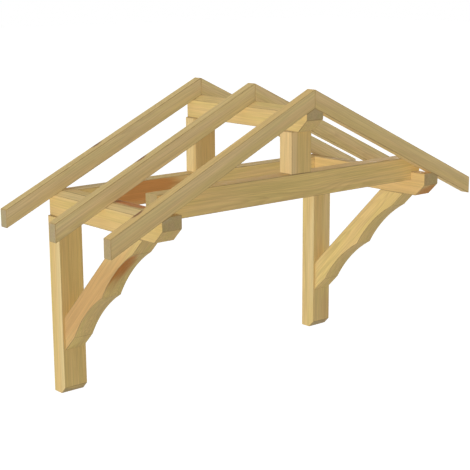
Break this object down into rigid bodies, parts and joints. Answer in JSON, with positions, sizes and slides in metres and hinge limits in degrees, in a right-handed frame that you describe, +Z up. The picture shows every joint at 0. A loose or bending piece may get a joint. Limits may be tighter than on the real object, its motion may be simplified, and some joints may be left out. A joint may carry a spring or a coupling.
{
  "type": "timber porch canopy frame",
  "caption": "Open gable porch canopy frame in squared timber: wall posts, scalloped corner braces, side purlins, tie beams, king posts, ridge and rafter pairs, held to a house wall over a door.",
  "frame": {"origin": "on the wall plane, at the middle of the back tie's wall face", "axes": "+X right along the wall, -Y out from the wall towards the front, +Z up"},
  "size_m": [2.2, 0.85, 1.4145],
  "materials": {
    "post_timber": "planed pale softwood, matt, bare",
    "beam_timber": "planed pale softwood, matt, bare",
    "brace_timber": "planed pale softwood, matt, bare",
    "tie_timber": "planed pale softwood, matt, bare",
    "rafter_timber": "planed pale softwood, matt, bare"
  },
  "bodies": {
    "root": {"wall_post_l": "post_timber", "wall_post_r": "post_timber", "purlin_l": "beam_timber", "purlin_r": "beam_timber", "brace_l": "brace_timber", "brace_r": "brace_timber", "back_tie": "tie_timber", "front_tie": "tie_timber", "back_king": "post_timber", "front_king": "post_timber", "ridge": "beam_timber", "rafter_back_l": "rafter_timber", "rafter_back_r": "rafter_timber", "rafter_mid_l": "rafter_timber", "rafter_mid_r": "rafter_timber", "rafter_front_l": "rafter_timber", "rafter_front_r": "rafter_timber"}
  },
  "joints": []
}
